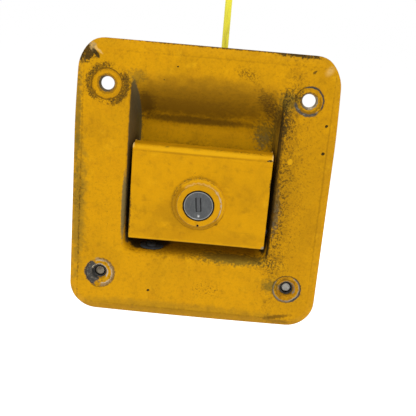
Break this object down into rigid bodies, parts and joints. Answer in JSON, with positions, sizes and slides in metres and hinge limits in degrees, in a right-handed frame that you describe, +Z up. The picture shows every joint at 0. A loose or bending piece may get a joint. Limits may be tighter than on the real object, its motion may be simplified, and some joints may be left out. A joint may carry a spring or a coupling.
{
  "type": "flush paddle latch",
  "caption": "Flush paddle latch for a machine door: pressed dish, key-locked paddle with finger pocket, sprung slide bolt and release cable.",
  "frame": {"origin": "centre of the flange, on the outer face of the door panel that the gasket seats on", "axes": "+Z up the door, +X to the right seen from outside, +Y into the machine; the outside of the door is on -Y"},
  "size_m": [0.122, 0.038, 0.189],
  "materials": {
    "yellow_paint": "worn machine-yellow gloss paint over pressed steel, grimy, chipped at edges",
    "zinc_steel": "dull zinc-plated steel",
    "bright_steel": "bright rubbed steel",
    "lock_steel": "dark satin lock steel",
    "spring_steel": "oiled spring steel",
    "black_rubber": "matte black rubber",
    "cable_sleeve": "yellow-green plastic sleeve, dirty at the edges"
  },
  "bodies": {
    "housing": {"dish": "yellow_paint", "flange_gasket": "black_rubber", "travel_stop": "black_rubber", "weld_nut_left": "zinc_steel", "weld_nut_right": "zinc_steel", "bolt_washer_left": "zinc_steel", "bolt_washer_right": "zinc_steel", "door_bolt_left": "zinc_steel", "door_bolt_right": "zinc_steel", "pivot_pin": "bright_steel", "pin_clip_left": "spring_steel", "pin_clip_right": "spring_steel", "guide_bracket": "zinc_steel", "bracket_rivet_1": "zinc_steel", "bracket_rivet_2": "zinc_steel", "bracket_rivet_3": "zinc_steel", "bracket_rivet_4": "zinc_steel", "lock_keeper": "zinc_steel", "slide_spring": "spring_steel"},
    "paddle": {"paddle": "yellow_paint", "lift_lever": "zinc_steel", "lever_rivet_left": "zinc_steel", "lever_rivet_right": "zinc_steel", "paddle_spring": "spring_steel", "lock_collar": "yellow_paint", "lock_housing": "lock_steel", "lock_nut": "zinc_steel"},
    "plug": {"key_plug": "lock_steel", "lock_cam": "zinc_steel", "cam_washer": "zinc_steel", "cam_screw": "zinc_steel"},
    "slide": {"slide_plate": "zinc_steel", "latch_bolt": "bright_steel", "bolt_rivet_1": "zinc_steel", "bolt_rivet_2": "zinc_steel", "cable_clamp": "zinc_steel", "clamp_screw": "zinc_steel", "release_cable": "cable_sleeve", "cable_eye": "bright_steel"}
  },
  "joints": [
    {"name": "paddle_hinge", "type": "hinge", "parent": "housing", "child": "paddle", "pos_m": [0, 0.0055, -0.0205], "axis": [1, 0, 0], "range_deg": [0, 30], "stiffness_Nm_per_rad": 0.12, "springref_deg": -28.65},
    {"name": "key_turn", "type": "hinge", "parent": "paddle", "child": "plug", "pos_m": [0, 0, -0.0067], "axis": [0, 1, 0], "range_deg": [-90, 0]},
    {"name": "slide_lift", "type": "slide", "parent": "housing", "child": "slide", "axis": [0, 0, 1], "range_m": [0, 0.0076], "deforming": ["slide_spring"]}
  ],
  "couplings": [
    {"joint": "slide_lift", "follows": "paddle_hinge", "m_per_rad": 0.01433}
  ]
}
